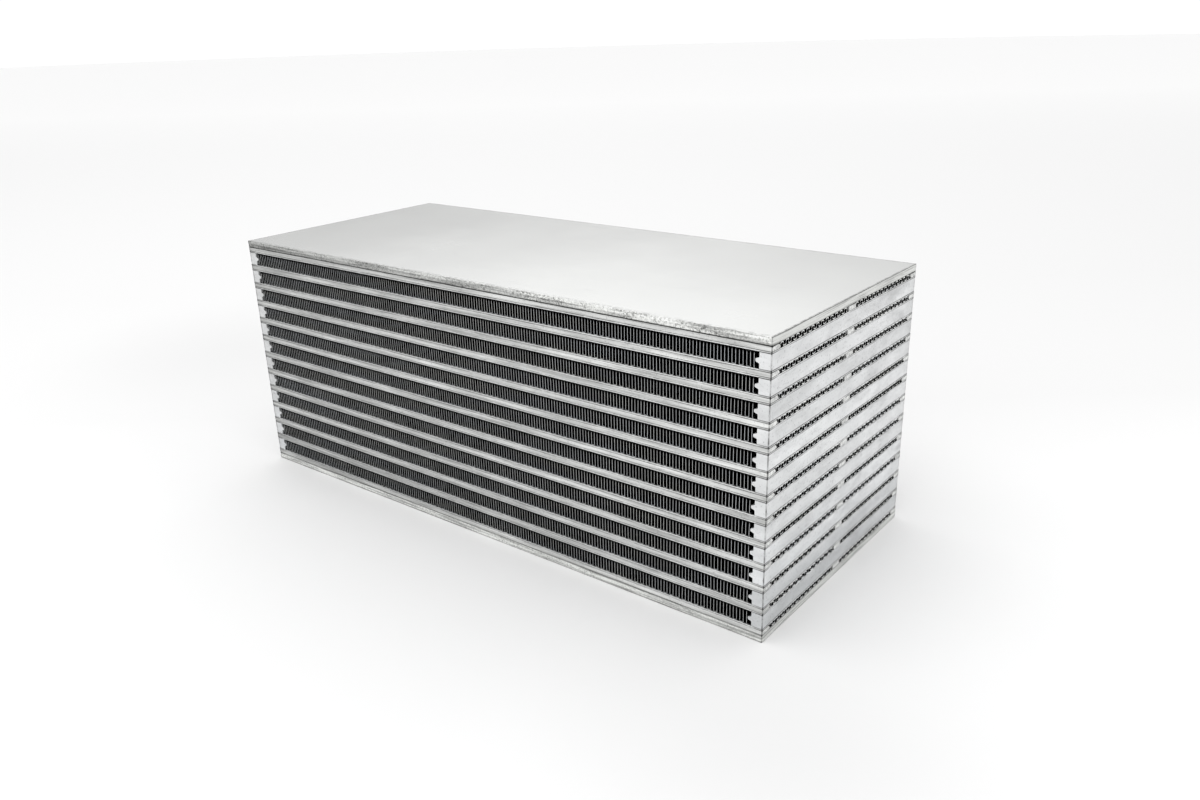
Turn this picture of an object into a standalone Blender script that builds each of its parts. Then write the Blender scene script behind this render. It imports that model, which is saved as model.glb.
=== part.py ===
"""Brazed aluminium bar-and-plate core of a hydraulic oil cooler, built up layer by layer.

Air blows from front (-Y) to rear through the finned layers. Oil runs along X through the thin layers
between them, where a divider bar parts a front pass from a rear pass. Layers are numbered from the bottom.
The origin is at the middle of the underside, +X runs along the length and +Z is up.
"""

import math

import bmesh
import bpy

# Driving dimensions, in metres.
LENGTH = 0.454
DEPTH = 0.1885
AIR_LAYERS = 12
AIR_HEIGHT = 0.0095
OIL_HEIGHT = 0.0030
SHEET_THICKNESS = 0.0008
SIDE_PLATE_THICKNESS = 0.0050
SIDE_PLATE_CHAMFER = 0.0003

# Bars that close the layers. Each nose stands inwards at mid height and stops the fin beside it.
AIR_BAR_WIDTH = 0.0072
AIR_BAR_NOSE = 0.0023
AIR_BAR_NOSE_FOOT = 0.0044
AIR_BAR_TIP_RADIUS = 0.0007
AIR_BAR_CORNER = 0.0005
OIL_BAR_WIDTH = 0.0072
OIL_BAR_NOSE = 0.0011
OIL_BAR_NOSE_FOOT = 0.0018
OIL_BAR_TIP_RADIUS = 0.0002
OIL_BAR_CORNER = 0.0003
DIVIDER_BAR_WIDTH = 0.0086
NOSE_TIP_STEPS = 4

# Folded sheets, with fewer and thicker walls than the real ones but the same amount of metal.
AIR_FIN_WALLS = 48
AIR_FIN_THICKNESS = 0.0004
AIR_FIN_SETBACK = 0.0010
TURBULATOR_WALLS = 14
TURBULATOR_THICKNESS = 0.00027
TURBULATOR_SETBACK = 0.0020
PASSAGE_WEBS = 6
PASSAGE_WEB_THICKNESS = 0.00175

# Room left between pieces that lie against each other, and between a folded sheet and the bars beside it.
BRAZE_GAP = 0.0001
FIN_END_GAP = 0.0005

# Colour and roughness of each kind of bare aluminium.
FINISHES = {
    "side_plate": ((0.78, 0.79, 0.80), 0.38),
    "parting_sheet": ((0.70, 0.71, 0.72), 0.40),
    "oil_bar": ((0.74, 0.75, 0.76), 0.42),
    "oil_passage": ((0.72, 0.73, 0.74), 0.42),
    "air_bar": ((0.86, 0.87, 0.87), 0.45),
    "air_fin": ((0.42, 0.43, 0.45), 0.40),
    "turbulator": ((0.55, 0.56, 0.57), 0.40),
}

# Sizes that follow from those above.
OIL_LAYERS = AIR_LAYERS + 1
LAYER_PITCH = AIR_HEIGHT + OIL_HEIGHT + 2 * SHEET_THICKNESS
HEIGHT = 2 * SIDE_PLATE_THICKNESS + AIR_LAYERS * LAYER_PITCH + OIL_HEIGHT
PASS_WIDTH = (DEPTH - 2 * OIL_BAR_WIDTH - DIVIDER_BAR_WIDTH) / 2
PASS_MIDDLE = (DIVIDER_BAR_WIDTH + PASS_WIDTH) / 2
QUARTER_TURN = math.pi / 2
SECTION_ALONG_Y = (QUARTER_TURN, 0, 0)
SECTION_ALONG_Y_REVERSED = (QUARTER_TURN, 0, math.pi)
SECTION_ALONG_X = (QUARTER_TURN, 0, QUARTER_TURN)
SECTION_ALONG_X_REVERSED = (QUARTER_TURN, 0, -QUARTER_TURN)


def oil_middle(layer):
    """Height of the middle of an oil layer, from 1 at the bottom to OIL_LAYERS at the top."""
    return SIDE_PLATE_THICKNESS + OIL_HEIGHT / 2 + (layer - 1) * LAYER_PITCH


def air_middle(layer):
    """Height of the middle of an air layer, from 1 at the bottom to AIR_LAYERS at the top."""
    return (oil_middle(layer) + oil_middle(layer + 1)) / 2


def clear_scene():
    for old in list(bpy.data.objects):
        bpy.data.objects.remove(old, do_unlink=True)


def new_collection(name):
    collection = bpy.data.collections.new(name)
    bpy.context.scene.collection.children.link(collection)
    return collection


def aluminium(name):
    colour, roughness = FINISHES[name]
    material = bpy.data.materials.new(name)
    material.use_nodes = True
    shader = material.node_tree.nodes["Principled BSDF"]
    shader.inputs["Base Color"].default_value = (*colour, 1)
    shader.inputs["Roughness"].default_value = roughness
    shader.inputs["Metallic"].default_value = 1
    return material


def add_piece(name, data, location, rotation=(0, 0, 0)):
    """A named piece of the core made from a mesh or a curve, which other pieces may share."""
    piece = bpy.data.objects.new(name, data)
    piece.location = location
    piece.rotation_euler = rotation
    core.objects.link(piece)
    return piece


def block_mesh(name, size, material):
    mesh = bpy.data.meshes.new(name)
    shape = bmesh.new()
    bmesh.ops.create_cube(shape, size=1)
    bmesh.ops.scale(shape, vec=size, verts=shape.verts)
    shape.to_mesh(mesh)
    shape.free()
    mesh.materials.append(material)
    return mesh


def section_curve(name, outlines, length, material):
    """A bar of constant section: the first outline is its edge, and any others are holes through it."""
    curve = bpy.data.curves.new(name, "CURVE")
    curve.dimensions = "2D"
    curve.fill_mode = "BOTH"
    curve.extrude = length / 2
    for outline in outlines:
        add_outline(curve, outline, closed=True)
    curve.materials.append(material)
    return curve


def ribbon_curve(name, path, length, material):
    """An open surface that follows a path and is as deep as length. A Solidify modifier makes it a sheet."""
    curve = bpy.data.curves.new(name, "CURVE")
    curve.dimensions = "2D"
    curve.fill_mode = "NONE"
    curve.extrude = length / 2
    add_outline(curve, path, closed=False)
    curve.materials.append(material)
    return curve


def add_outline(curve, points, closed):
    spline = curve.splines.new("POLY")
    spline.points.add(len(points) - 1)
    for target, (x, y) in zip(spline.points, points):
        target.co = (x, y, 0, 1)
    spline.use_cyclic_u = closed


def nose_points(foot_x, length, foot_height, tip_radius, direction):
    """A bar's nose, from its lower foot round the tip to its upper foot. Direction is 1 for +x, -1 for -x."""
    tip_centre = length - tip_radius
    points = [(foot_x, -foot_height / 2)]
    for step in range(NOSE_TIP_STEPS + 1):
        angle = math.pi * (step / NOSE_TIP_STEPS - 0.5)
        reach = tip_centre + tip_radius * math.cos(angle)
        points.append((foot_x + direction * reach, tip_radius * math.sin(angle)))
    points.append((foot_x, foot_height / 2))
    return points


def bar_section(width, height, corner, nose):
    """Section of a closing bar, with its outer face at x = 0 and its nose pointing to +x."""
    top = height / 2
    lower = [(0, -top), (width - corner, -top), (width, corner - top)]
    upper = [(width, top - corner), (width - corner, top), (0, top)]
    return lower + nose + upper


def air_bar_section():
    nose = nose_points(AIR_BAR_WIDTH, AIR_BAR_NOSE, AIR_BAR_NOSE_FOOT, AIR_BAR_TIP_RADIUS, 1)
    return bar_section(AIR_BAR_WIDTH, AIR_HEIGHT - 2 * BRAZE_GAP, AIR_BAR_CORNER, nose)


def oil_bar_nose(foot_x, direction):
    return nose_points(foot_x, OIL_BAR_NOSE, OIL_BAR_NOSE_FOOT, OIL_BAR_TIP_RADIUS, direction)


def oil_bar_section():
    nose = oil_bar_nose(OIL_BAR_WIDTH, 1)
    return bar_section(OIL_BAR_WIDTH, OIL_HEIGHT - 2 * BRAZE_GAP, OIL_BAR_CORNER, nose)


def rectangle(left, right, bottom, top):
    return [(left, bottom), (right, bottom), (right, top), (left, top)]


def folded_path(width, height, walls):
    """Square wave of upright walls that are joined at the top and the bottom in turn."""
    path = []
    for wall in range(walls):
        x = width * (wall / (walls - 1) - 0.5)
        rise = height / 2 if wall % 2 == 0 else -height / 2
        path.append((x, -rise))
        path.append((x, rise))
    return path


def folded_sheet(name, curve, thickness, location, rotation):
    sheet = add_piece(name, curve, location, rotation)
    solid = sheet.modifiers.new("sheet metal", "SOLIDIFY")
    solid.thickness = thickness
    solid.offset = 0
    solid.use_even_offset = True
    return sheet


def channel_outlines(pass_start, nose_at_start):
    """The channels of one pass of a brazed passage, between the webs of its turbulator."""
    channels = PASSAGE_WEBS + 1
    width = (PASS_WIDTH - PASSAGE_WEBS * PASSAGE_WEB_THICKNESS) / channels
    top = OIL_HEIGHT / 2
    outlines = []
    for number in range(channels):
        left = pass_start + number * (width + PASSAGE_WEB_THICKNESS)
        outline = rectangle(left, left + width, -top, top)
        if nose_at_start and number == 0:
            outline += reversed(oil_bar_nose(left, 1))
        if not nose_at_start and number == channels - 1:
            outline[2:2] = oil_bar_nose(left + width, -1)
        outlines.append(list(reversed(outline)))
    return outlines


def passage_section():
    """Two parting sheets, the three oil bars between them and both turbulators, brazed into one tube."""
    top = OIL_HEIGHT / 2 + SHEET_THICKNESS
    front_pass = channel_outlines(OIL_BAR_WIDTH - DEPTH / 2, nose_at_start=True)
    rear_pass = channel_outlines(DIVIDER_BAR_WIDTH / 2, nose_at_start=False)
    return [rectangle(-DEPTH / 2, DEPTH / 2, -top, top)] + front_pass + rear_pass


def ribbed_sheet_section():
    """A parting sheet with the divider bar brazed along its underside. The sheet's middle is at y = 0."""
    sheet_bottom = -SHEET_THICKNESS / 2
    rib_bottom = sheet_bottom - OIL_HEIGHT + BRAZE_GAP
    half_rib = DIVIDER_BAR_WIDTH / 2
    sheet = rectangle(-DEPTH / 2, DEPTH / 2, sheet_bottom, SHEET_THICKNESS / 2)
    rib = [
        (-half_rib, sheet_bottom),
        (-half_rib, rib_bottom),
        (half_rib, rib_bottom),
        (half_rib, sheet_bottom),
    ]
    return sheet[:1] + rib + sheet[1:]


def add_side_plates():
    size = (LENGTH, DEPTH, SIDE_PLATE_THICKNESS)
    mesh = block_mesh("side plate", size, aluminium("side_plate"))
    heights = {
        "side_plate_bottom": SIDE_PLATE_THICKNESS / 2,
        "side_plate_top": HEIGHT - SIDE_PLATE_THICKNESS / 2,
    }
    for name, height in heights.items():
        plate = add_piece(name, mesh, (0, 0, height))
        edge = plate.modifiers.new("deburred edge", "BEVEL")
        edge.width = SIDE_PLATE_CHAMFER
        edge.segments = 1


def add_air_layers():
    bar = section_curve("air bar", [air_bar_section()], DEPTH, aluminium("air_bar"))
    fin_width = LENGTH - 2 * (AIR_BAR_WIDTH + AIR_BAR_NOSE + FIN_END_GAP) - AIR_FIN_THICKNESS
    fin_height = AIR_HEIGHT - 2 * BRAZE_GAP - AIR_FIN_THICKNESS
    fin_path = folded_path(fin_width, fin_height, AIR_FIN_WALLS)
    fin = ribbon_curve("air fin", fin_path, DEPTH - 2 * AIR_FIN_SETBACK, aluminium("air_fin"))
    for layer in range(1, AIR_LAYERS + 1):
        z = air_middle(layer)
        add_piece(f"air_bar_left_{layer:02d}", bar, (-LENGTH / 2, 0, z), SECTION_ALONG_Y)
        add_piece(f"air_bar_right_{layer:02d}", bar, (LENGTH / 2, 0, z), SECTION_ALONG_Y_REVERSED)
        folded_sheet(f"air_fin_{layer:02d}", fin, AIR_FIN_THICKNESS, (0, 0, z), SECTION_ALONG_Y)


def add_brazed_passages():
    passage = section_curve("oil passage", passage_section(), LENGTH, aluminium("oil_passage"))
    for layer in range(2, OIL_LAYERS):
        add_piece(f"oil_passage_{layer:02d}", passage, (0, 0, oil_middle(layer)), SECTION_ALONG_X)


def add_loose_oil_pieces(bar_metal):
    """Front and rear bars and turbulators of the lowest and the highest oil layer, each on its own."""
    bar = section_curve("oil bar", [oil_bar_section()], LENGTH, bar_metal)
    width = PASS_WIDTH - OIL_BAR_NOSE - 2 * FIN_END_GAP - TURBULATOR_THICKNESS
    height = OIL_HEIGHT - 2 * BRAZE_GAP - TURBULATOR_THICKNESS
    path = folded_path(width, height, TURBULATOR_WALLS)
    web = ribbon_curve("turbulator", path, LENGTH - 2 * TURBULATOR_SETBACK, aluminium("turbulator"))
    middle = PASS_MIDDLE - OIL_BAR_NOSE / 2
    sides = (("front", -1, SECTION_ALONG_X), ("rear", 1, SECTION_ALONG_X_REVERSED))
    for layer in (1, OIL_LAYERS):
        z = oil_middle(layer)
        for side, way, turn in sides:
            add_piece(f"oil_bar_{side}_{layer:02d}", bar, (0, way * DEPTH / 2, z), turn)
            web_name = f"turbulator_{side}_{layer:02d}"
            folded_sheet(web_name, web, TURBULATOR_THICKNESS, (0, way * middle, z), turn)


def add_top_sheet_and_divider(bar_metal, sheet_metal):
    sheet = block_mesh("parting sheet", (LENGTH, DEPTH, SHEET_THICKNESS), sheet_metal)
    divider_height = OIL_HEIGHT - 2 * BRAZE_GAP
    divider = block_mesh("divider bar", (LENGTH, DIVIDER_BAR_WIDTH, divider_height), bar_metal)
    z = oil_middle(OIL_LAYERS)
    add_piece(f"parting_sheet_{OIL_LAYERS:02d}", sheet, (0, 0, z - (OIL_HEIGHT + SHEET_THICKNESS) / 2))
    add_piece(f"divider_bar_{OIL_LAYERS:02d}", divider, (0, 0, z))


def add_bottom_ribbed_sheet(sheet_metal):
    ribbed = section_curve("ribbed sheet", [ribbed_sheet_section()], LENGTH, sheet_metal)
    z = oil_middle(1) + (OIL_HEIGHT + SHEET_THICKNESS) / 2
    add_piece("parting_sheet_with_divider_01", ribbed, (0, 0, z), SECTION_ALONG_X)


clear_scene()
core = new_collection("hydraulic_oil_cooler")
oil_bar_metal = aluminium("oil_bar")
parting_sheet_metal = aluminium("parting_sheet")
add_side_plates()
add_air_layers()
add_brazed_passages()
add_loose_oil_pieces(oil_bar_metal)
add_top_sheet_and_divider(oil_bar_metal, parting_sheet_metal)
add_bottom_ribbed_sheet(parting_sheet_metal)
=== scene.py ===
"""Looks of the brazed bar-and-plate core of a hydraulic oil cooler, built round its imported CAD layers.

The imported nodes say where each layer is. Every plate, sheet, bar, fin and turbulator of the real core is
made here as a piece of its own, with rounded edges, a sawn or torn rim and folded sheet at its true pitch.
"""

import math

import bmesh
import bpy
import numpy as np
from mathutils import Matrix, Vector, noise


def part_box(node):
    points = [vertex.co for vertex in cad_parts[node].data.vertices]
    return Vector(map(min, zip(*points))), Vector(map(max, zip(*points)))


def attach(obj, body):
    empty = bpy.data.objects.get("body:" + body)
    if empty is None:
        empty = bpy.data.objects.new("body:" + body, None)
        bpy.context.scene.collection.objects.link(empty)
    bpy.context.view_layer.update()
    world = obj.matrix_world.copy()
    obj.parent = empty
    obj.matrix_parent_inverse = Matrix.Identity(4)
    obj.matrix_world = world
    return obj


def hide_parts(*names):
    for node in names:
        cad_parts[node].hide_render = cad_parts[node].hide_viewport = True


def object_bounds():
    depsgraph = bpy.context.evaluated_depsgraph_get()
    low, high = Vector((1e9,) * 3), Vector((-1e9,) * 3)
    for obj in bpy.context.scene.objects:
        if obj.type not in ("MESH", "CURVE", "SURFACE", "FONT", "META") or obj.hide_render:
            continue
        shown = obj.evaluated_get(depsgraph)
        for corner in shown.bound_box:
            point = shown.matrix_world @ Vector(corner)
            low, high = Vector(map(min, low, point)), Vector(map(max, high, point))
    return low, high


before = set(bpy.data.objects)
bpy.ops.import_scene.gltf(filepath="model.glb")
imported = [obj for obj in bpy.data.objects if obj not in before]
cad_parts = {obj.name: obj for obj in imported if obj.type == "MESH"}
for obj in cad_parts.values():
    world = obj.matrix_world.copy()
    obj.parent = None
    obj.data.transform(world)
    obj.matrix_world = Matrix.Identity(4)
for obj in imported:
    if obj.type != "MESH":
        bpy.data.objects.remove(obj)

# The vector noise takes its seed from the clock unless it is given one.
noise.seed_set(1)

MM = 0.001
cad_box = [list(corner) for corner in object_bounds()]

# Sizes read from the frame.
LOW, HIGH = (Vector(corner) for corner in cad_box)
MIDDLE = (LOW + HIGH) / 2
LENGTH, DEPTH = (HIGH - LOW).xy
AIR_LAYERS = sum(name.startswith("air_fin_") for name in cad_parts)
OIL_LAYERS = AIR_LAYERS + 1


def node_size(node):
    low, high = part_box(node)
    return high - low


SIDE_PLATE = node_size("side_plate_bottom").z
SHEET = node_size(f"parting_sheet_{OIL_LAYERS:02d}").z
DIVIDER_WIDTH = node_size(f"divider_bar_{OIL_LAYERS:02d}").y
OIL_HEIGHT = node_size("oil_passage_02").z - 2 * SHEET
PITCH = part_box("oil_passage_03")[0].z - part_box("oil_passage_02")[0].z
AIR_HEIGHT = PITCH - OIL_HEIGHT - 2 * SHEET
AIR_BAR_REACH = node_size("air_bar_left_01").x
OIL_BAR_REACH = node_size("oil_bar_front_01").y

# Sizes of the fine detail. A joint is the gap left on each side of a brazed face.
JOINT = 0.06 * MM
RIM_JOINT = 0.11 * MM
RIM_SPACING = 1.3 * MM
RIM_ROUGHNESS = 0.12 * MM
SHEET_EDGE = 0.08 * MM
SHEET_SPACING = 4 * MM
SHEET_ROUGHNESS = 0.10 * MM
BAR_EDGE = 0.2 * MM
BAR_STATION = 7 * MM
BAR_WOBBLE = 0.03 * MM
AIR_NOSE = 2.3 * MM
AIR_NOSE_FOOT = 3.4 * MM
AIR_NOSE_TIP = 1.8 * MM
AIR_BAR_SETBACK = {"left": 0.3 * MM, "right": 0.12 * MM}
OIL_NOSE = 1.1 * MM
OIL_BAR_SETBACK = 0.08 * MM
FIN_SHEET = 0.30 * MM
FIN_SPACING = 2.18 * MM
FIN_BEND = 0.45 * MM
FIN_SETBACK = 0.5 * MM
FIN_END_GAP = 0.2 * MM
FIN_MOUTH = 3 * MM
TURBULATOR_SHEET = 0.42 * MM
TURBULATOR_SPACING = 2.85 * MM
TURBULATOR_BEND = 0.75 * MM
TURBULATOR_STRIP = 3.0 * MM
TURBULATOR_SETBACK = (0.05 * MM, 0.55 * MM)
LANCED_STRIPS = 5
LANCED_GAP = 0.03 * MM
SHARP_ANGLE = math.radians(35)

# The tone of a piece that has none of its own, and how much the greys of like pieces differ.
PLAIN = (1.0, 1.0, 1.0)
GREY_SPREAD = {"oil_bar": 0.18, "parting_sheet": 0.05, "air_fin": 0.08}

# Brightness of the left air bars, which is painted shade at the left end of the core, and of the dull ones
# on the right, where the rest have 1. Each is then multiplied by a level that differs from bar to bar. The
# lowest layers are also a little colder.
SHADED_LEFT_BARS = 0.86
DULL_RIGHT_BARS = {1: 0.82, 2: 0.90, 10: 0.93}
AIR_BAR_LEVEL = 0.97
AIR_BAR_SPREAD = 0.05
COLD_LAYERS = 6
COLDEST = 0.02

# What is left of the light deep inside the fins, and in the narrower turbulators and oil passages.
DEEP_IN_FINS = 0.015
DEEP_IN_WEBS = 0.01
DEEP_IN_PASSAGES = 0.005

# The camera's turn in degrees, its lens in millimetres, and its place from the core's lowest front left
# corner in lengths of the core.
CAMERA_HEADING, CAMERA_TILT, CAMERA_ROLL = 38.59, -20.94, -1.66
CAMERA_LENS = 30.1
CAMERA_AWAY = (1.5122, -0.9528, 0.7402)
FLOOR_REACH = 12.0


def oil_floor(layer):
    return LOW.z + SIDE_PLATE + (layer - 1) * PITCH


def air_floor(layer):
    return oil_floor(layer) + OIL_HEIGHT + SHEET


# ---------------------------------------------------------------- shader nodes


def shader_node(tree, kind, inputs=None, **settings):
    """A shader node with its settings and its inputs, where a socket given as an input is linked."""
    made = tree.nodes.new(kind)
    for name, value in settings.items():
        setattr(made, name, value)
    for name, value in (inputs or {}).items():
        if isinstance(value, bpy.types.NodeSocket):
            tree.links.new(value, made.inputs[name])
        else:
            made.inputs[name].default_value = value
    return made


def calculated(tree, operation, *values):
    return shader_node(tree, "ShaderNodeMath", dict(enumerate(values)), operation=operation).outputs[0]


def product(tree, first, second):
    return calculated(tree, "MULTIPLY", first, second)


def total(tree, first, second):
    return calculated(tree, "ADD", first, second)


def difference(tree, first, second):
    return calculated(tree, "SUBTRACT", first, second)


def greater(tree, first, second):
    return calculated(tree, "MAXIMUM", first, second)


def lesser(tree, first, second):
    return calculated(tree, "MINIMUM", first, second)


def distance_from(tree, value, target):
    return calculated(tree, "ABSOLUTE", difference(tree, value, target))


def calculated_vector(tree, operation, inputs, output="Vector"):
    return shader_node(tree, "ShaderNodeVectorMath", inputs, operation=operation).outputs[output]


def stretched(tree, where, scale):
    """The place on the piece, with each axis scaled on its own, so that a pattern runs along one of them."""
    return calculated_vector(tree, "MULTIPLY", {0: where, 1: scale})


def noise_value(tree, where, scale, detail=3.0, roughness=0.55):
    inputs = {"Vector": where, "Scale": scale, "Detail": detail, "Roughness": roughness}
    return shader_node(tree, "ShaderNodeTexNoise", inputs).outputs["Fac"]


def remapped(tree, value, low, high, to_low, to_high, shape="LINEAR"):
    """The value taken from the range low to high into the range to_low to to_high, and no further."""
    inputs = {"Value": value, "From Min": low, "From Max": high, "To Min": to_low, "To Max": to_high}
    return shader_node(tree, "ShaderNodeMapRange", inputs, interpolation_type=shape).outputs["Result"]


def blended(tree, share, first, second):
    """The first value where share is 0 and the second where it is 1."""
    return shader_node(tree, "ShaderNodeMix", {"Factor": share, "A": first, "B": second}).outputs["Result"]


def bumped(tree, height, distance, strength=1.0, under=None):
    inputs = {"Height": height, "Distance": distance, "Strength": strength}
    if under is not None:
        inputs["Normal"] = under
    return shader_node(tree, "ShaderNodeBump", inputs).outputs["Normal"]


def even_grey(tree, level):
    return shader_node(tree, "ShaderNodeCombineColor", {0: level, 1: level, 2: level}).outputs[0]


def tinted(tree, brightness, tint):
    """A colour of the given tint, as bright as the value says, times the piece's own tone."""
    own = shader_node(tree, "ShaderNodeObjectInfo").outputs["Color"]
    colour = calculated_vector(tree, "SCALE", {0: tint, "Scale": brightness})
    return calculated_vector(tree, "MULTIPLY", {0: colour, 1: own})


def plug(tree, shader, **sockets):
    for name, value in sockets.items():
        tree.links.new(value, shader.inputs[name.replace("_", " ")])


def new_material(name):
    material = bpy.data.materials.new(name)
    material.use_nodes = True
    tree = material.node_tree
    where = shader_node(tree, "ShaderNodeTexCoord").outputs["Object"]
    return material, tree, tree.nodes["Principled BSDF"], where


def new_metal(name):
    material, tree, shader, where = new_material(name)
    shader.inputs["Metallic"].default_value = 1
    return material, tree, shader, where


# ---------------------------------------------------------------- places on the core


def coordinate(tree, where, axis):
    return shader_node(tree, "ShaderNodeSeparateXYZ", {0: where}).outputs[axis]


def inward(tree, where, axis, reach):
    """How far a place is inside the core from the nearer end of an axis."""
    return difference(tree, reach, calculated(tree, "ABSOLUTE", coordinate(tree, where, axis)))


def from_end(tree, where):
    return inward(tree, where, "X", LENGTH / 2)


def from_front_or_rear(tree, where):
    return inward(tree, where, "Y", DEPTH / 2)


def from_corner(tree, where):
    """How far a place is, along the face that it is on, from the nearest upright corner."""
    return greater(tree, from_end(tree, where), from_front_or_rear(tree, where))


def from_outside(tree, where):
    """How far a place is inside the core from its nearest upright face."""
    return lesser(tree, from_end(tree, where), from_front_or_rear(tree, where))


def height_in_pitch(tree, where):
    """Height above the floor of the air layer at or below a place, from 0 to one pitch."""
    floor = air_floor(1)
    wrapped = calculated(tree, "WRAP", coordinate(tree, where, "Z"), floor + PITCH, floor)
    return difference(tree, wrapped, floor)


def spot_distance(tree, where, centre):
    """How far a place is, on plan, from a centre."""
    plan = stretched(tree, where, (1, 1, 0))
    return calculated_vector(tree, "DISTANCE", {0: plan, 1: (*centre, 0)}, "Value")


# ---------------------------------------------------------------- dark lines, stains, painted light and painted shade


def dark_joint_lines(tree, where):
    """Dark in the joints beside each sheet, most of all near the corners, and 1 elsewhere.

    A sheet's joint with an air layer is dark only where an end bar closes the layer.
    """
    height = height_in_pitch(tree, where)
    past_end_bar = remapped(
        tree, from_end(tree, where), AIR_BAR_REACH - AIR_NOSE, AIR_BAR_REACH, 0.0, 1 * MM
    )
    nearest = 1.0
    for rise in (0, AIR_HEIGHT, PITCH):
        nearest = lesser(tree, nearest, distance_from(tree, height, rise))
    nearest = total(tree, nearest, past_end_bar)
    for rise in (AIR_HEIGHT + SHEET, AIR_HEIGHT + SHEET + OIL_HEIGHT):
        nearest = lesser(tree, nearest, distance_from(tree, height, rise))
    patchiness = noise_value(tree, where, 70, 4, 0.7)
    least = remapped(tree, patchiness, 0.38, 0.60, 0.95, 0.35)
    least = product(tree, least, remapped(tree, from_corner(tree, where), 2.0 * MM, 7.0 * MM, 0.25, 1.0))
    return remapped(tree, nearest, 0.16 * MM, 0.42 * MM, least, 1.0)


def dark_corner_lines(tree, where):
    """Dark along the upright corners and 1 elsewhere: darkest at the sheets, and wider at the left end."""
    patchiness = noise_value(tree, where, 160, 3, 0.7)
    oil_middle = AIR_HEIGHT + SHEET + OIL_HEIGHT / 2
    from_sheets = distance_from(tree, height_in_pitch(tree, where), oil_middle)
    from_sheets = distance_from(tree, from_sheets, (SHEET + OIL_HEIGHT) / 2)
    at_sheets = remapped(tree, from_sheets, 0.4 * MM, 1.2 * MM, 0.3, 1.0)
    least = product(tree, remapped(tree, patchiness, 0.40, 0.60, 0.25, 0.80), at_sheets)
    along = coordinate(tree, where, "X")
    reach = remapped(tree, along, LOW.x + 5 * MM, LOW.x + 8 * MM, 1.7 * MM, 0.9 * MM)
    share = calculated(tree, "DIVIDE", from_corner(tree, where), reach)
    return remapped(tree, share, 0.40, 1.0, least, 1.0)


def shaded_inside(tree, where, lit, deep):
    """1 at the core's outer faces, falling to nearly 0 inside: painted shade where light fails inside the
    core.
    """
    return remapped(tree, from_outside(tree, where), lit, deep, 1.0, DEEP_IN_FINS)


def shaded_passages(tree, where):
    """Like shaded_inside, and black at once in the narrow oil passages, which open at the two ends."""
    in_oil = remapped(tree, from_end(tree, where), 0.10 * MM, 0.18 * MM, 1.0, DEEP_IN_PASSAGES)
    in_air = remapped(tree, from_front_or_rear(tree, where), 0.5 * MM, 1.3 * MM, 1.0, DEEP_IN_FINS)
    return greater(tree, in_oil, in_air)


def painted_shade_to_the_left(tree, where):
    """Painted shade: the front and rear bars darken towards the left end of the core."""
    return remapped(tree, coordinate(tree, where, "X"), LOW.x, HIGH.x, 0.74, 1.02)


def stained_to_the_rear(tree, where):
    """The end bars carry soft grey stains, more of them towards the rear."""
    patch = noise_value(tree, stretched(tree, where, (22, 22, 60)), 1.0, 4, 0.6)
    stained = remapped(tree, coordinate(tree, where, "Y"), LOW.y, HIGH.y, 0.93, 0.80)
    return remapped(tree, patch, 0.50, 0.66, 1.0, stained)


def freshly_cut_ends(tree, where):
    """The end bars are brighter where they were cut to length, at the front and rear."""
    return remapped(tree, from_front_or_rear(tree, where), 0.1 * MM, 0.4 * MM, 1.06, 1.0)


def fin_light(tree, where, lit, deep):
    """Painted light of the fins by depth from the front or rear, with painted shade under the next sheet.

    The light reaches deeper along the folds that lie on the sheet below.
    """
    height = height_in_pitch(tree, where)
    at_foot = remapped(tree, height, 0.45 * MM, 0.9 * MM, 0.8 * MM, 0.0)
    # Painted shade under the next sheet, at the top of each fin.
    shade_under_sheet = remapped(tree, height, AIR_HEIGHT - 1.9 * MM, AIR_HEIGHT - 0.8 * MM, 1.0, 0.03)
    depth = difference(tree, from_front_or_rear(tree, where), at_foot)
    return product(tree, remapped(tree, depth, lit, deep, 1.0, DEEP_IN_FINS), shade_under_sheet)


def height_in_passage(tree, where):
    return difference(tree, height_in_pitch(tree, where), AIR_HEIGHT + SHEET)


def web_edge_light(tree, where, lit, deep):
    """Painted light of the turbulators' cut edges by depth from the ends: the folds are painted bright and
    the walls painted in shade.
    """
    from_middle = distance_from(tree, height_in_passage(tree, where), OIL_HEIGHT / 2)
    fold = remapped(tree, from_middle, 0.3 * MM, 0.7 * MM, 0.15, 1.0)
    return product(tree, fold, remapped(tree, from_end(tree, where), lit, deep, 1.0, DEEP_IN_WEBS))


def web_wall_light(tree, where, lit, deep):
    """Painted light of the turbulators' walls: painted black as shade, but for the folds that lie on the
    sheet below.
    """
    fold = remapped(tree, height_in_passage(tree, where), 0.55 * MM, 0.75 * MM, 1.0, 0.01)
    return product(tree, fold, remapped(tree, from_end(tree, where), lit, deep, 1.0, DEEP_IN_WEBS))


# ---------------------------------------------------------------- materials


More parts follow.
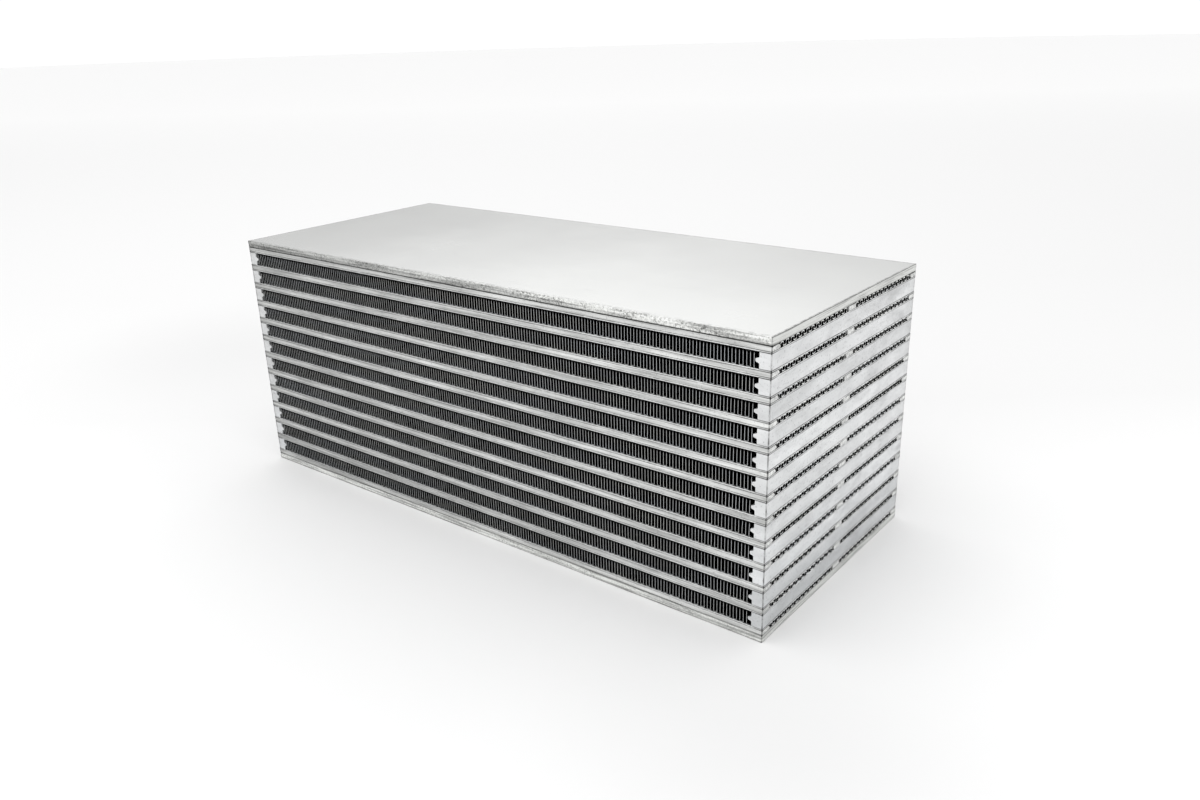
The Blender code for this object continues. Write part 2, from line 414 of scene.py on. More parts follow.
def rolled_plate_metal():
    """Mill-finished plate: faint rolling lines along the length, soft smudges, scuffs and dull arrises, with
    a painted highlight near the front middle and painted shade towards the ends, the rear and two corners.
    """
    material, tree, shader, where = new_metal("rolled plate")
    smudge = noise_value(tree, where, 9, 4, 0.6)
    lines = noise_value(tree, stretched(tree, where, (6, 700, 6)), 1.0, 3)
    scuff = noise_value(tree, stretched(tree, where, (40, 90, 40)), 1.0, 6, 0.72)
    chip = noise_value(tree, where, 240, 4, 0.7)
    across = coordinate(tree, where, "Y")
    tone = remapped(tree, smudge, 0.3, 0.75, 0.91, 0.985)
    tone = product(tree, tone, remapped(tree, scuff, 0.62, 0.80, 1.0, 0.86))
    tone = product(tree, tone, remapped(tree, lines, 0.3, 0.7, 0.985, 1.0))
    # Painted light: darker towards both ends and towards the rear, a painted highlight near the front
    # middle, and painted shade at the front left and rear right corners.
    tone = product(tree, tone, remapped(tree, from_end(tree, where), 0.0, 0.12, 0.94, 1.02))
    tone = product(tree, tone, remapped(tree, across, LOW.y, HIGH.y, 1.05, 0.93))
    for centre, near, far, inside, outside in (
        ((0.15, -0.06), 0.05, 0.30, 1.01, 0.92),
        ((LOW.x, LOW.y), 0.05, 0.28, 0.79, 1.0),
        ((HIGH.x, HIGH.y), 0.04, 0.18, 0.93, 1.0),
    ):
        patch = remapped(tree, spot_distance(tree, where, centre), near, far, inside, outside)
        tone = product(tree, tone, patch)
    worn = remapped(tree, chip, 0.40, 0.62, 0.35, 0.92)
    arris = lesser(tree, from_end(tree, where), difference(tree, HIGH.y, across))
    tone = product(tree, tone, remapped(tree, arris, 0.9 * MM, 1.7 * MM, worn, 1.0))
    torn = remapped(tree, chip, 0.42, 0.56, 0.72, 1.0)
    from_front = difference(tree, across, LOW.y)
    tone = product(tree, tone, remapped(tree, from_front, 1.0 * MM, 4.0 * MM, torn, 1.0))
    rough = product(
        tree, remapped(tree, smudge, 0.3, 0.7, 0.20, 0.28), remapped(tree, lines, 0.3, 0.7, 0.94, 1.06)
    )
    plug(
        tree,
        shader,
        Base_Color=tinted(tree, tone, (0.992, 1.0, 0.985)),
        Roughness=rough,
        Normal=bumped(tree, lines, 0.006 * MM),
    )
    return material


def rim_joint(tree, out, reach, least):
    """Dark where the rim meets the layer beside it, and 1 elsewhere."""
    return remapped(tree, distance_from(tree, out, SIDE_PLATE - 0.25 * MM), 0.25 * MM, reach, least, 1.0)


def top_rim(tree, where, out):
    """Tone across the top plate's rim: bright where sheared, with painted shade in the groove lower down,
    deepest to the left.
    """
    # Painted shade in the groove lower down the rim, deepest towards the left end.
    groove_shade = remapped(tree, coordinate(tree, where, "X"), LOW.x, HIGH.x, 0.60, 0.92)
    lower = remapped(tree, distance_from(tree, out, 3.2 * MM), 0.5 * MM, 1.7 * MM, groove_shade, 1.0)
    return product(tree, lower, rim_joint(tree, out, 0.55 * MM, 0.22))


def bottom_rim(tree, where, out):
    """Tone across the bottom plate's rim: painted shade at the floor, dark in the joint, and even between
    them.
    """
    # Painted shade where the rim meets the floor.
    low = remapped(tree, out, 0.25 * MM, 1.3 * MM, 0.50, 1.0)
    return product(tree, low, rim_joint(tree, out, 0.60 * MM, 0.40))


def torn_edge_metal(name, outer_face, across, left, right, speckle):
    """Rim of a side plate: torn along the front and rear, more so in some stretches, and sawn at the ends.

    across(tree, where, out) gives the tone by the height out from the plate's outer face, left and right are
    the brightness towards those ends, and speckle is how strong the speckles are.
    """
    material, tree, shader, where = new_metal(name)
    chips = noise_value(tree, stretched(tree, where, (1, 1, 1.3)), 520, 4, 0.7)
    specks = noise_value(tree, where, 900, 4, 0.75)
    streaks = noise_value(tree, stretched(tree, where, (26, 26, 900)), 1.0, 4, 0.65)
    region = noise_value(tree, where, 55, 3, 0.6)
    out = distance_from(tree, coordinate(tree, where, "Z"), outer_face)
    dark_speck = remapped(tree, specks, 0.36, 0.47, 0.30, 1.0)
    speckled = product(tree, dark_speck, remapped(tree, chips, 0.38, 0.54, 0.42, 1.0))
    torn = blended(tree, remapped(tree, region, 0.36, 0.58, 0.3 * speckle, speckle), 1.0, speckled)
    torn = product(tree, torn, remapped(tree, streaks, 0.38, 0.56, 0.50, 1.0))
    along = coordinate(tree, where, "X")
    # Brightness from the left end to the right: on the top rim it is painted shade deepening towards the
    # left end.
    torn = product(tree, torn, remapped(tree, along, -0.2 * LENGTH, 0.42 * LENGTH, left, right))
    torn = product(tree, torn, across(tree, where, out))
    sawn = product(tree, 0.76, remapped(tree, streaks, 0.38, 0.50, 0.60, 1.0))
    # Darker within 0.55 mm of the outer face, which on the bottom plate is painted shade at the floor.
    sawn = product(tree, sawn, remapped(tree, out, 0.25 * MM, 0.55 * MM, 0.35, 1.0))
    foot = distance_from(tree, out, SIDE_PLATE)
    sawn = product(tree, sawn, remapped(tree, foot, 0.3 * MM, 1.0 * MM, 0.45, 1.0))
    at_end = remapped(tree, from_end(tree, where), 0.5 * MM, 0.9 * MM, 1.0, 0.0)
    tone = product(tree, blended(tree, at_end, torn, sawn), dark_corner_lines(tree, where))
    plug(
        tree,
        shader,
        Base_Color=tinted(tree, tone, (0.99, 1.0, 0.975)),
        Roughness=remapped(tree, specks, 0.3, 0.7, 0.60, 0.42),
        Normal=bumped(tree, chips, 0.12 * MM, 0.7),
    )
    return material


def bar_metal(name, along, groove, bright, dark, tint, extras):
    """Drawn bar: fine lines along its run, faint stains, a few dark nicks, dark lines in its joints and
    painted shade inside the core.

    along scales the lines on each axis, and groove is how dark they are.
    """
    material, tree, shader, where = new_metal(name)
    lines = noise_value(tree, stretched(tree, where, along), 1.0, 3)
    stain = noise_value(tree, stretched(tree, where, (30, 30, 110)), 1.0, 5, 0.62)
    scuff = noise_value(tree, stretched(tree, where, (150, 60, 340)), 1.0, 6, 0.75)
    speck = noise_value(tree, where, 700, 4, 0.7)
    tone = remapped(tree, stain, 0.32, 0.68, dark, bright)
    tone = product(tree, tone, remapped(tree, lines, 0.32, 0.68, groove, 1.04))
    tone = product(tree, tone, remapped(tree, speck, 0.30, 0.42, 0.60, 1.0))
    tone = product(tree, tone, remapped(tree, scuff, 0.56, 0.70, 1.0, 0.80))
    for factor in (*extras, dark_joint_lines, dark_corner_lines):
        tone = product(tree, tone, factor(tree, where))
    tone = product(tree, tone, shaded_inside(tree, where, 1.6 * MM, 3.0 * MM))
    plug(
        tree,
        shader,
        Base_Color=tinted(tree, tone, tint),
        Roughness=remapped(tree, stain, 0.3, 0.7, 0.55, 0.42),
        Normal=bumped(tree, speck, 0.03 * MM, 0.6, bumped(tree, lines, 0.02 * MM)),
    )
    return material


def thin_metal(name, light, lit, deep, bright, dark, tint):
    """Thin folded sheet, with painted light at its mouth as light(tree, where, lit, deep) says and painted
    shade, black, further in.
    """
    material, tree, shader, where = new_metal(name)
    cloud = noise_value(tree, where, 60, 4, 0.6)
    grain = noise_value(tree, where, 900, 2)
    hue = noise_value(tree, stretched(tree, where, (14, 14, 160)), 1.0, 2)
    tone = remapped(tree, cloud, 0.3, 0.7, dark, bright)
    tone = product(tree, tone, remapped(tree, grain, 0.3, 0.7, 0.88, 1.08))
    tone = product(tree, tone, light(tree, where, lit, deep))
    cool = Vector(tint) + Vector((-0.02, 0.0, 0.02))
    warm = Vector(tint) + Vector((0.01, 0.01, -0.02))
    share = remapped(tree, hue, 0.38, 0.62, 0.0, 1.0)
    own_tint = calculated_vector(tree, "MULTIPLY_ADD", {0: warm - cool, 1: share, 2: cool})
    plug(
        tree,
        shader,
        Base_Color=tinted(tree, tone, own_tint),
        Roughness=remapped(tree, grain, 0.3, 0.7, 0.44, 0.56),
        Normal=bumped(tree, grain, 0.02 * MM, 0.6),
    )
    return material


def sheet_metal():
    """Parting sheet, clad with braze: dull and even at its edges, with painted shade inside the core and
    towards the left end.
    """
    material, tree, shader, where = new_metal("parting sheet")
    cloud = noise_value(tree, where, 60, 4, 0.6)
    grain = noise_value(tree, where, 900, 3, 0.65)
    tone = remapped(tree, cloud, 0.3, 0.7, 0.82, 0.93)
    tone = product(tree, tone, remapped(tree, grain, 0.32, 0.6, 0.86, 1.04))
    tone = product(tree, tone, greater(tree, dark_joint_lines(tree, where), 0.6))
    for factor in (painted_shade_to_the_left, dark_corner_lines, shaded_passages):
        tone = product(tree, tone, factor(tree, where))
    plug(
        tree,
        shader,
        Base_Color=tinted(tree, tone, (0.985, 0.995, 0.99)),
        Roughness=remapped(tree, grain, 0.3, 0.7, 0.42, 0.56),
        Normal=bumped(tree, grain, 0.02 * MM, 0.6),
    )
    return material


def floor_paper():
    """Pale paper with painted shade, a little darker behind the core than in front of it and lighter far
    behind, with two soft painted shadows.
    """
    material, tree, shader, where = new_material("pale floor")
    # Painted shade round the core: darkest just behind it, lighter in front, and lighter again far behind.
    behind = (-0.62, 0.78, 0.0)
    distance = calculated_vector(tree, "DOT_PRODUCT", {0: where, 1: behind}, "Value")
    near = remapped(tree, distance, -0.02, 0.16, 0.90, 0.84)
    far = remapped(tree, distance, 0.6, 3.6, 0.0, 0.14)
    level = total(tree, near, far)
    # Two soft painted shadows: in front of the front right corner, and to the left of the core.
    for centre, reach, least in (((0.29, -0.17), 0.16, 0.91), ((-0.52, 0.06), 0.26, 0.93)):
        spot = spot_distance(tree, where, centre)
        level = product(tree, level, remapped(tree, spot, 0.0, reach, least, 1.0, "SMOOTHSTEP"))
    plug(tree, shader, Base_Color=even_grey(tree, level))
    shader.inputs["Roughness"].default_value = 0.7
    shader.inputs["Specular IOR Level"].default_value = 0.2
    return material


# ---------------------------------------------------------------- meshes


def face_outwards(mesh):
    """Turns every face round if the mesh is inside out."""
    shape = bmesh.new()
    shape.from_mesh(mesh)
    inside_out = shape.calc_volume(signed=True) < 0
    shape.free()
    if inside_out:
        mesh.flip_normals()


def make_piece(name, points, faces, materials, face_materials, nodes, tone=PLAIN):
    """A piece of the core that stands for CAD nodes, rides on the only body and keeps a tone of its own."""
    mesh = bpy.data.meshes.new(name)
    mesh.from_pydata([tuple(p) for p in points], [], [tuple(f) for f in faces])
    for material in materials:
        mesh.materials.append(material)
    mesh.polygons.foreach_set("material_index", face_materials)
    face_outwards(mesh)
    mesh.shade_smooth()
    mesh.set_sharp_from_angle(angle=SHARP_ANGLE)
    piece = bpy.data.objects.new(name, mesh)
    piece.color = (*tone, 1)
    bpy.context.scene.collection.objects.link(piece)
    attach(piece, "root")
    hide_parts(*nodes)


def drift(scale, *place):
    """Smooth noise from -1 to 1 that is the same each run."""
    return noise.noise(Vector(place) * scale)


def own_grey(kind, *place):
    """A grey near white that differs from piece to piece by the spread of their kind."""
    return (1 + GREY_SPREAD[kind] * drift(1, *place),) * 3


def softened(outline, radii, steps=3):
    """The outline with each corner rounded over its radius by a quadratic curve of the given steps."""
    made = []
    count = len(outline)
    for i, radius in enumerate(radii):
        corner = Vector(outline[i])
        start = corner + (Vector(outline[i - 1]) - corner).normalized() * radius
        end = corner + (Vector(outline[(i + 1) % count]) - corner).normalized() * radius
        for step in range(steps + 1):
            t = step / steps
            made.append((1 - t) ** 2 * start + 2 * t * (1 - t) * corner + t * t * end)
    return made


def narrowed(outline, distance):
    """The outline moved inwards by about the distance. It runs anticlockwise."""
    made = []
    count = len(outline)
    for i, point in enumerate(outline):
        along = outline[(i + 1) % count] - outline[i - 1]
        inwards = Vector((-along.y, along.x)).normalized()
        made.append(point + inwards * distance)
    return made


def loft_faces(rings, count):
    """Side faces between closed rings of count points each, then a face over each end."""
    faces = []
    for ring in range(rings - 1):
        base = ring * count
        for i in range(count):
            j = (i + 1) % count
            faces.append((base + i, base + j, base + count + j, base + count + i))
    faces.append(tuple(reversed(range(count))))
    faces.append(tuple(range((rings - 1) * count, rings * count)))
    return faces


# ---------------------------------------------------------------- bars


def bar_stations(length):
    """Distances along a bar: its two ends, a chamfer's width inside each, and even ones between those."""
    inner = max(2, round(length / BAR_STATION))
    return [0.0, *np.linspace(BAR_EDGE, length - BAR_EDGE, inner), length]


def make_bar(name, outline, length, place, material, node, tone):
    """A bar with a section in the (across, up) plane, carried along by place(along, across, up)."""
    stations = bar_stations(length)
    points = []
    for along in stations:
        at_end = along in (stations[0], stations[-1])
        section = narrowed(outline, BAR_EDGE / 2) if at_end else outline
        for across, up in section:
            point = place(along, across, up)
            seed = Vector((0, 0, point.z * 9))
            wobble = noise.noise_vector(point * 45 + seed) + noise.noise_vector(point * 210 + seed) * 0.6
            wobble *= BAR_WOBBLE
            points.append(place(along, across + abs(wobble.y), up + wobble.z))
    faces = loft_faces(len(stations), len(outline))
    make_piece(name, points, faces, [material], [0] * len(faces), [node], tone)


def air_bar_outline():
    """Section of an end bar of an air layer: outer face at 0, rounded tongue inwards at mid height."""
    width = AIR_BAR_REACH - AIR_NOSE
    top = AIR_HEIGHT / 2 - JOINT
    foot = AIR_NOSE_FOOT / 2
    tip = AIR_NOSE_TIP / 2
    outline = [
        (0, -top), (width, -top), (width, -foot), (AIR_BAR_REACH, -tip),
        (AIR_BAR_REACH, tip), (width, foot), (width, top), (0, top),
    ]
    return softened(outline, [BAR_EDGE * size for size in (1, 2, 2, 3, 3, 2, 2, 1)])


def oil_bar_outline():
    """Section of a front or rear bar of an oil layer, with a small pointed nose."""
    width = OIL_BAR_REACH - OIL_NOSE
    top = OIL_HEIGHT / 2 - JOINT
    outline = [(0, -top), (width, -top), (OIL_BAR_REACH, 0), (width, top), (0, top)]
    return softened(outline, [BAR_EDGE * size for size in (1, 1, 0.5, 1, 1)])


def divider_outline():
    half = DIVIDER_WIDTH / 2
    top = OIL_HEIGHT / 2 - JOINT
    return softened([(-half, -top), (half, -top), (half, top), (-half, top)], [BAR_EDGE] * 4)


def along_length(face, inwards, middle_z):
    """place(along, across, up) of a bar that runs along X, its section inwards along Y from its face."""

    def place(along, across, up):
        return Vector((LOW.x + along, face + inwards * across, middle_z + up))

    return place


def along_depth(face, inwards, middle_z):
    """place(along, across, up) of a bar that runs along Y, its section inwards along X from its face."""

    def place(along, across, up):
        return Vector((face + inwards * across, LOW.y + along, middle_z + up))

    return place


def layer_nodes(layer):
    """The CAD nodes of an oil layer, keyed by what each holds."""
    kinds = ("front", "rear", "divider", "turbulator_front", "turbulator_rear")
    if 1 < layer < OIL_LAYERS:
        return dict.fromkeys(kinds, f"oil_passage_{layer:02d}")
    number = f"{layer:02d}"
    divider = "parting_sheet_with_divider" if layer == 1 else "divider_bar"
    names = ("oil_bar_front", "oil_bar_rear", divider, "turbulator_front", "turbulator_rear")
    return {kind: f"{name}_{number}" for kind, name in zip(kinds, names)}


def add_oil_bars(metal):
    outline = oil_bar_outline()
    divider = divider_outline()
    for layer in range(1, OIL_LAYERS + 1):
        nodes = layer_nodes(layer)
        middle_z = oil_floor(layer) + OIL_HEIGHT / 2
        back = OIL_BAR_SETBACK * (1 + drift(1, layer * 2.3, 0.4, 7))
        for side, shape, face, inwards in (
            ("front", outline, LOW.y + back, 1),
            ("rear", outline, HIGH.y - back, -1),
            ("divider", divider, MIDDLE.y, 1),
        ):
            place = along_length(face, inwards, middle_z)
            tone = own_grey("oil_bar", layer * 3.3, len(side), 2.2)
            name = f"oil_bar_{side}_layer_{layer:02d}"
            make_bar(name, shape, LENGTH, place, metal, nodes[side], tone)


def add_air_bars(metal):
    """The end bars of the air layers, each set back a little from the end of the core."""
    outline = air_bar_outline()
    for layer in range(1, AIR_LAYERS + 1):
        middle_z = air_floor(layer) + AIR_HEIGHT / 2
        for side, edge, inwards in (("left", LOW.x, 1), ("right", HIGH.x, -1)):
            back = AIR_BAR_SETBACK[side] * (1 + 0.5 * drift(1, layer * 1.9, inwards * 5.5, 1))
            place = along_depth(edge + inwards * back, inwards, middle_z)
            # The left bars are darker as painted shade at the left end of the core.
            level = SHADED_LEFT_BARS if side == "left" else DULL_RIGHT_BARS.get(layer, 1.0)
            level *= AIR_BAR_LEVEL + AIR_BAR_SPREAD * drift(1, layer * 2.9, inwards * 3.5, 9)
            cold = COLDEST * max(0.0, 1 - layer / COLD_LAYERS)
            tone = (level * (1 - cold), level * (1 - cold / 2), level)
            name = f"air_bar_{side}_layer_{layer:02d}"
            node = f"air_bar_{side}_{layer:02d}"
            make_bar(name, outline, DEPTH, place, metal, node, tone)


# ---------------------------------------------------------------- plates and sheets


def rim_points(low, high, spacing):
    """Points anticlockwise round a rectangle, about as far apart as spacing, with one at each corner."""
    corners = [(low.x, low.y), (high.x, low.y), (high.x, high.y), (low.x, high.y)]
    points = []
    for i, corner in enumerate(corners):
        start = Vector(corner)
        end = Vector(corners[(i + 1) % 4])
        steps = round((end - start).length / spacing)
        points += [start.lerp(end, step / steps) for step in range(steps)]
    return points


def make_slab(name, low, high, rings, spacing, rough, materials, node, tone=PLAIN):
    """A plate with a rim through rings of (height, setback), roughened inwards.

    The materials are those of its underside, its top and its rim.
    """
    centre = (low + high) / 2
    half = (high - low) / 2
    rim = rim_points(low, high, spacing)
    points = []
    for height, setback in rings:
        for place in rim:
            at = Vector((place.x, place.y, height))
            jag = noise.noise(at * 260) * 0.6 + noise.noise(at * 900) * 0.4
            slow = noise.noise(at * 18) * 0.5
            depth = setback + rough * (0.5 + 0.5 * max(-1.0, min(1.0, 1.6 * jag + slow)))
            x = centre.x + (place.x - centre.x) * (1 - depth / half.x)
            y = centre.y + (place.y - centre.y) * (1 - depth / half.y)
            points.append((x, y, height))
    faces = loft_faces(len(rings), len(rim))
    sides = len(faces) - 2
    make_piece(name, points, faces, materials, [2] * sides + [0, 1], [node], tone)


def add_plates(outside, inside, rims):
    """The two side plates, each with a rim from its outer face at height 0 down to its joint."""
    low_edge = SIDE_PLATE - RIM_JOINT
    rim = [
        (0.0, 0.25 * MM),
        (0.20 * MM, 0.06 * MM),
        (1.2 * MM, 0.02 * MM),
        (2.6 * MM, 0.05 * MM),
        (3.0 * MM, 0.16 * MM),
        (3.8 * MM, 0.12 * MM),
        (low_edge - 0.30 * MM, 0.03 * MM),
        (low_edge, 0.35 * MM),
    ]
    for side in ("bottom", "top"):
        node = f"side_plate_{side}"
        low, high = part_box(node)
        if side == "bottom":
            rings = [(low.z + height, setback) for height, setback in rim]
            materials = [outside, inside, rims[side]]
        else:
            rings = [(high.z - height, setback) for height, setback in reversed(rim)]
            materials = [inside, outside, rims[side]]
        make_slab(
            f"{side}_plate", low, high, rings, RIM_SPACING, RIM_ROUGHNESS, materials, node
        )


def sheet_floors():
    """(floor, CAD node) of each parting sheet, from the bottom up: one below and one above each oil layer.

    The lowest and the highest oil layer have a side plate on their outer side instead.
    """
    floors = []
    for layer in range(1, OIL_LAYERS + 1):
        node = f"oil_passage_{layer:02d}"
        if layer == 1:
            node = "parting_sheet_with_divider_01"
        if layer == OIL_LAYERS:
            node = f"parting_sheet_{OIL_LAYERS:02d}"
        if layer > 1:
            floors.append((oil_floor(layer) - SHEET, node))
        if layer < OIL_LAYERS:
            floors.append((oil_floor(layer) + OIL_HEIGHT, node))
    return floors


def add_parting_sheets(metal):
    floors = sheet_floors()
    for number, (floor, node) in enumerate(floors, 1):
        rings = [
            (floor + JOINT, SHEET_EDGE),
            (floor + 0.2 * SHEET, 0.0),
            (floor + 0.8 * SHEET, 0.0),
            (floor + SHEET - JOINT, SHEET_EDGE),
        ]
        name = f"parting_sheet_{number:02d}_of_{len(floors)}"
        tone = own_grey("parting_sheet", number * 1.7, 3.1, 0)
        make_slab(
            name, LOW, HIGH, rings, SHEET_SPACING, SHEET_ROUGHNESS, [metal] * 3, node, tone
        )


# ---------------------------------------------------------------- folded sheets


def sheet_strip(path, stations, thickness):
    """Points and faces of a folded sheet that follows an (across, up) path at each of its stations along.

    path is an array of stations by points by 2. The faces come with a material number: 0 on the sheet's two
    sides and 1 on its cut edges.
    """
    ahead = np.roll(path, -1, axis=1) - path
    ahead[:, -1] = ahead[:, -2]
    back = path - np.roll(path, 1, axis=1)
    back[:, 0] = back[:, 1]
    ahead /= np.linalg.norm(ahead, axis=2, keepdims=True)
    back /= np.linalg.norm(back, axis=2, keepdims=True)
    mitre = ahead + back
    normal = np.stack([-mitre[..., 1], mitre[..., 0]], axis=2)
    normal *= (thickness / (normal * normal).sum(axis=2))[..., None]
    count = path.shape[1]
    along = np.repeat(np.array(stations), count)
    left = np.column_stack([(path + normal).reshape(-1, 2), along])
    right = np.column_stack([(path - normal).reshape(-1, 2), along])
    points = np.concatenate([left, right])
    shift = len(stations) * count
    faces = []
    kinds = []

    def add_edge(edge, first):
        faces.append(edge if first else edge[::-1])
        kinds.append(1)

    for station in range(len(stations) - 1):
        start = station * count
        for a in range(start, start + count - 1):
            b = a + count
            faces.append((a, b, b + 1, a + 1))
            faces.append((a + shift, a + 1 + shift, b + 1 + shift, b + shift))
            kinds += [0, 0]
        for a in (start, start + count - 1):
            b = a + count
            add_edge((a, a + shift, b + shift, b), a == start)
    for start in (0, shift - count):
        for a in range(start, start + count - 1):
            add_edge((a, a + 1, a + 1 + shift, a + shift), start == 0)
    return points, faces, kinds


def folded_path(feet, lean, low, high, bend):
    """Centreline of a folded sheet, whose walls go up and down in turn.

    Each wall stands at its foot, leans a little and is bent over at its two ends.
    """
    path = []
    for number, (foot, tilt) in enumerate(zip(feet, lean)):
        rising = number % 2 == 0
        start_up, end_up = (low, high) if rising else (high, low)
        way = 1 if rising else -1
        start = foot - tilt * way
        end = foot + tilt * way
        path += [
            (start - bend, start_up),
            (start - bend * 0.25, start_up + way * bend * 0.25),
            (start, start_up + way * bend),
            (end, end_up - way * bend),
            (end + bend * 0.25, end_up - way * bend * 0.25),
            (end + bend, end_up),
        ]
    return path


def air_fin_paths(layer, reach, stations):
    """The fin's centreline at each station: its walls wander, and in places the mouth is knocked over.

    The wander of a wall's foot and the tilt of the wall are in millimetres.
    """
    walls = 2 * round(reach / FIN_SPACING)
    low = JOINT + FIN_SHEET / 2
    high = AIR_HEIGHT - low
    paths = []
    for station in stations:
        at_mouth = station in (stations[0], stations[-1])
        feet = []
        lean = []
        for wall in range(walls):
            x = reach * (2 * wall / (walls - 1) - 1)
            wander = 0.12 * drift(90, x, layer * 0.031, 0) + 0.03 * drift(700, x, layer * 0.017, 1)
            splay = 0.02 + 0.05 * drift(14, x, layer * 0.05, 2)
            tilt = splay * (1 if wall % 2 else -1) + 0.12 * drift(45, x, layer * 0.023, 3)
            if at_mouth:
                knock = max(0.0, drift(30, x, layer * 0.071, station * 40) - 0.42)
                wander += 2.0 * knock
                tilt += 0.05 * drift(420, x, layer * 0.019, station * 30)
            feet.append(x + wander * MM)
            lean.append(tilt * MM)
        paths.append(folded_path(feet, lean, low, high, FIN_BEND))
    return np.array(paths)


def add_air_fins(wall_metal, edge_metal):
    reach = LENGTH / 2 - AIR_BAR_REACH - FIN_END_GAP - 2 * FIN_BEND
    half_depth = DEPTH / 2 - FIN_SETBACK
    stations = [-half_depth, FIN_MOUTH - half_depth, half_depth - FIN_MOUTH, half_depth]
    for layer in range(1, AIR_LAYERS + 1):
        points, faces, kinds = sheet_strip(air_fin_paths(layer, reach, stations), stations, FIN_SHEET)
        across, up, along = points.T
        placed = np.column_stack([across + MIDDLE.x, along + MIDDLE.y, up + air_floor(layer)])
        tone = own_grey("air_fin", layer * 4.1, 2.7, 5)
        name = f"air_fin_layer_{layer:02d}"
        node = f"air_fin_{layer:02d}"
        make_piece(name, placed, faces, [wall_metal, edge_metal], kinds, [node], tone)


def turbulator_strips(layer, side):
    """(start, end, shift) of each strip along X: every second one is shifted by half a wall spacing.

    A few strips are lanced at each end of the core, and one long strip joins them.
    """
    first = TURBULATOR_STRIP * (0.55 + 0.4 * drift(1, layer * 5.3, side * 2.1, 4))
    least, most = TURBULATOR_SETBACK
    share = min(1.0, max(0.0, 0.5 + 1.2 * drift(1, layer * 7.7, side * 3.9, 6)))
    setback = least + (most - least) * share
    cuts = [0.0] + [first + n * TURBULATOR_STRIP for n in range(LANCED_STRIPS)]
    left = [LOW.x + setback + cut for cut in cuts]
    right = [HIGH.x - setback - cut for cut in reversed(cuts)]
    edges = left + right
    return [(start, end, (i % 2) / 2) for i, (start, end) in enumerate(zip(edges, edges[1:]))]


def turbulator_mesh(strips, low_y, room):
    """Points, faces and material numbers of a turbulator's strips, side by side in one mesh."""
    walls = round(room / TURBULATOR_SPACING)
    spacing = room / (walls - 0.5)
    low = JOINT + TURBULATOR_SHEET / 2
    high = OIL_HEIGHT - low
    points = np.empty((0, 3))
    faces = []
    kinds = []
    for start, end, shift in strips:
        feet = [low_y + (wall + shift) * spacing for wall in range(walls)]
        path = folded_path(feet, [0.0] * walls, low, high, TURBULATOR_BEND)
        stations = [start + LANCED_GAP, end - LANCED_GAP]
        strip, strip_faces, strip_kinds = sheet_strip(np.array([path, path]), stations, TURBULATOR_SHEET)
        faces += [tuple(i + len(points) for i in face) for face in strip_faces]
        kinds += strip_kinds
        points = np.concatenate([points, strip])
    return points, faces, kinds


def add_turbulators(wall_metal, edge_metal):
    for layer in range(1, OIL_LAYERS + 1):
        nodes = layer_nodes(layer)
        for side, way in (("front", -1), ("rear", 1)):
            kind = f"turbulator_{side}"
            low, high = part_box(f"{kind}_{OIL_LAYERS:02d}")
            room = high.y - low.y - 2 * TURBULATOR_BEND
            points, faces, kinds = turbulator_mesh(
                turbulator_strips(layer, way), low.y + TURBULATOR_BEND, room
            )
            across, up, along = points.T
            placed = np.column_stack([along, across, up + oil_floor(layer)])
            name = f"{kind}_layer_{layer:02d}"
            make_piece(name, placed, faces, [wall_metal, edge_metal], kinds, [nodes[kind]])


# ---------------------------------------------------------------- surroundings


def add_floor():
    """A wide round floor of pale paper."""
    turns = 64
    points = [(0.0, 0.0, LOW.z)]
    for turn in range(turns):
        angle = 2 * math.pi * turn / turns
        points.append((FLOOR_REACH * math.cos(angle), FLOOR_REACH * math.sin(angle), LOW.z))
    faces = [(0, 1 + i, 1 + (i + 1) % turns) for i in range(turns)]
    mesh = bpy.data.meshes.new("floor")
    mesh.from_pydata(points, [], faces)
    mesh.materials.append(floor_paper())
    floor = bpy.data.objects.new("floor", mesh)
    bpy.context.scene.collection.objects.link(floor)


def add_softbox(name, place, target, size, power):
    """A soft overhead lamp that brightens the floor and has no mirror image in the metal."""
    lamp = bpy.data.lights.new(name, "AREA")
    lamp.shape = "RECTANGLE"
    lamp.size, lamp.size_y = size
    lamp.energy = power
    softbox = bpy.data.objects.new(name, lamp)
    softbox.location = place
    softbox.visible_glossy = False
    softbox.rotation_euler = (Vector(target) - Vector(place)).to_track_quat("-Z", "Y").to_euler()
    bpy.context.scene.collection.objects.link(softbox)


def add_world():
    """A white studio: a bright backdrop down at the horizon, a dimmer wall above it and a pale ceiling."""
    world = bpy.data.worlds.new("studio")
    bpy.context.scene.world = world
    world.use_nodes = True
    tree = world.node_tree
    back = tree.nodes["Background"]
    way = shader_node(tree, "ShaderNodeTexCoord").outputs["Generated"]
    up = coordinate(tree, way, "Z")
    backdrop, wall = 1.0, 0.50
    level = remapped(tree, up, 0.035, 0.07, backdrop, wall)
    for low, high, rise in ((0.11, 0.30, 0.50), (0.45, 0.80, -0.06)):
        level = total(tree, level, remapped(tree, up, low, high, 0.0, rise))
    plug(tree, back, Color=even_grey(tree, level))
    back.inputs["Strength"].default_value = 1.04


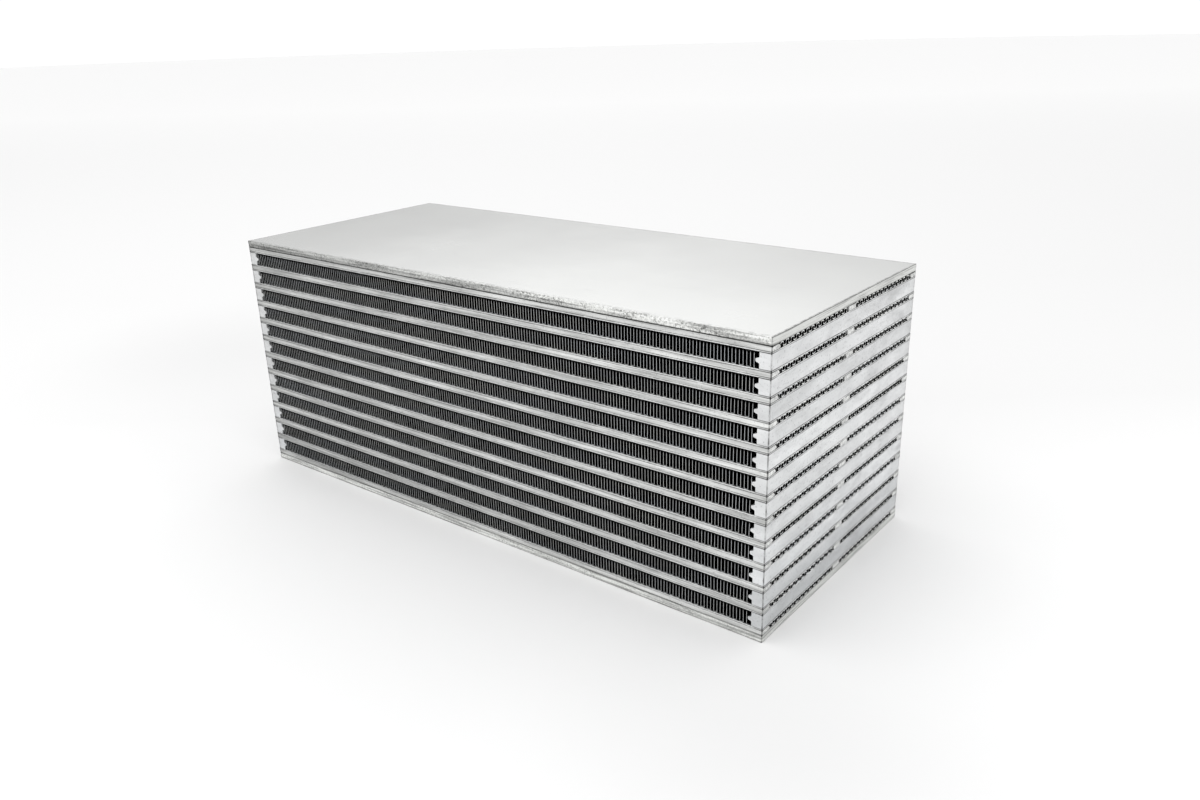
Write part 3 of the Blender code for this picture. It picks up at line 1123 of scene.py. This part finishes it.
def add_camera():
    """Looks down on the front right corner, a little nearer to the right end."""
    data = bpy.data.cameras.new("camera")
    data.sensor_width = 36
    data.lens = CAMERA_LENS
    camera = bpy.data.objects.new("camera", data)
    heading, tilt, roll = (math.radians(angle) for angle in (CAMERA_HEADING, CAMERA_TILT, CAMERA_ROLL))
    turn = (
        Matrix.Rotation(heading, 4, "Z")
        @ Matrix.Rotation(math.pi / 2 + tilt, 4, "X")
        @ Matrix.Rotation(roll, 4, "Z")
    )
    camera.matrix_world = Matrix.Translation(LOW + Vector(CAMERA_AWAY) * LENGTH) @ turn
    bpy.context.scene.collection.objects.link(camera)
    bpy.context.scene.camera = camera


plate_face = rolled_plate_metal()
plate_rims = {
    "top": torn_edge_metal("torn top plate edge", HIGH.z, top_rim, 0.72, 1.14, speckle=1.0),
    "bottom": torn_edge_metal("torn bottom plate edge", LOW.z, bottom_rim, 0.98, 0.96, speckle=0.6),
}
# The drawn oil bars carry painted shade towards the left end of the core.
drawn_bar = bar_metal(
    "drawn oil bar",
    along=(16, 520, 520),
    groove=0.58,
    bright=0.96,
    dark=0.80,
    tint=(0.99, 1.0, 0.985),
    extras=[painted_shade_to_the_left],
)
end_bar = bar_metal(
    "cut end bar",
    along=(60, 60, 60),
    groove=0.94,
    bright=0.87,
    dark=0.76,
    tint=(0.985, 0.995, 1.0),
    extras=[freshly_cut_ends, stained_to_the_rear],
)
sheets = sheet_metal()
# The fin walls are painted dark even at their mouths, as painted shade in the narrow gaps between the fins.
fin_wall = thin_metal("fin wall", fin_light, 0.52 * MM, 0.66 * MM, 0.16, 0.10, (0.96, 0.98, 1.0))
fin_edge = thin_metal("fin cut edge", fin_light, 2.0 * MM, 3.0 * MM, 0.62, 0.46, (0.98, 0.99, 1.0))
web_wall = thin_metal("turbulator wall", web_wall_light, 0.6 * MM, 1.0 * MM, 0.97, 0.90, (0.99, 0.99, 1.0))
web_edge = thin_metal("turbulator cut edge", web_edge_light, 0.9 * MM, 1.6 * MM, 1.0, 0.97, (0.99, 1.0, 1.0))

add_plates(plate_face, sheets, plate_rims)
add_parting_sheets(sheets)
add_oil_bars(drawn_bar)
add_air_bars(end_bar)
add_air_fins(fin_wall, fin_edge)
add_turbulators(web_wall, web_edge)
add_floor()
add_world()
add_softbox("overhead softbox", place=(-0.2, -0.6, 2.2), target=(0.0, 0.0, 0.1), size=(2.0, 1.8), power=15)
add_camera()
bpy.context.scene.view_settings.view_transform = "Standard"
